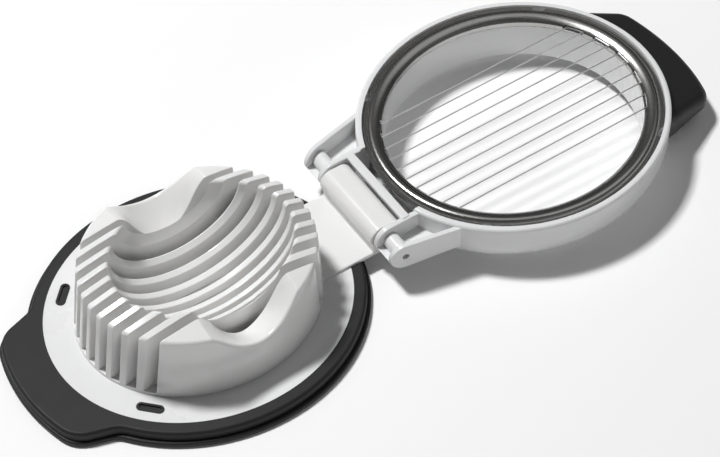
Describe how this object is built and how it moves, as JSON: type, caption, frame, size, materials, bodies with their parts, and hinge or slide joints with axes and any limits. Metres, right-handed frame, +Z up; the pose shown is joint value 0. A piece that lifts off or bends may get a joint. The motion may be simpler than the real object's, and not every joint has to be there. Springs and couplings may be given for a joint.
{
  "type": "egg slicer",
  "caption": "Oval egg slicer: slotted white cradle on a non-slip base, and a hinged lid with a steel ring strung with cutting wires and a soft grip, lying open.",
  "frame": {"origin": "middle of the oval base, on the face that rests on the table", "axes": "+X along the wires towards the hinge and the open lid, +Y along the hinge, +Z up from the table"},
  "size_m": [0.2659, 0.1038, 0.034],
  "materials": {
    "base_white": "moulded, satin gloss",
    "cradle_white": "moulded, gloss",
    "lid_white": "moulded, gloss",
    "soft_black": "matte soft-touch",
    "grip_black": "matte soft-touch",
    "ring_steel": "polished stainless",
    "wire_steel": "drawn stainless",
    "pin_steel": "plain steel"
  },
  "bodies": {
    "base": {"base_disc": "base_white", "nonslip_rim": "soft_black", "egg_cradle": "cradle_white"},
    "lid": {"lid_frame": "lid_white", "wire_ring": "ring_steel", "wire_01": "wire_steel", "wire_02": "wire_steel", "wire_03": "wire_steel", "wire_04": "wire_steel", "wire_05": "wire_steel", "wire_06": "wire_steel", "wire_07": "wire_steel", "wire_08": "wire_steel", "wire_09": "wire_steel", "wire_10": "wire_steel", "wire_bends_grip": "wire_steel", "wire_bends_hinge": "wire_steel", "lid_grip": "grip_black", "hinge_pin_front": "pin_steel", "hinge_pin_back": "pin_steel"}
  },
  "joints": [
    {"name": "lid_hinge", "type": "hinge", "parent": "base", "child": "lid", "pos_m": [0.0634, 0, 0.0135], "axis": [0, -1, 0], "range_deg": [0, 178.75]}
  ]
}
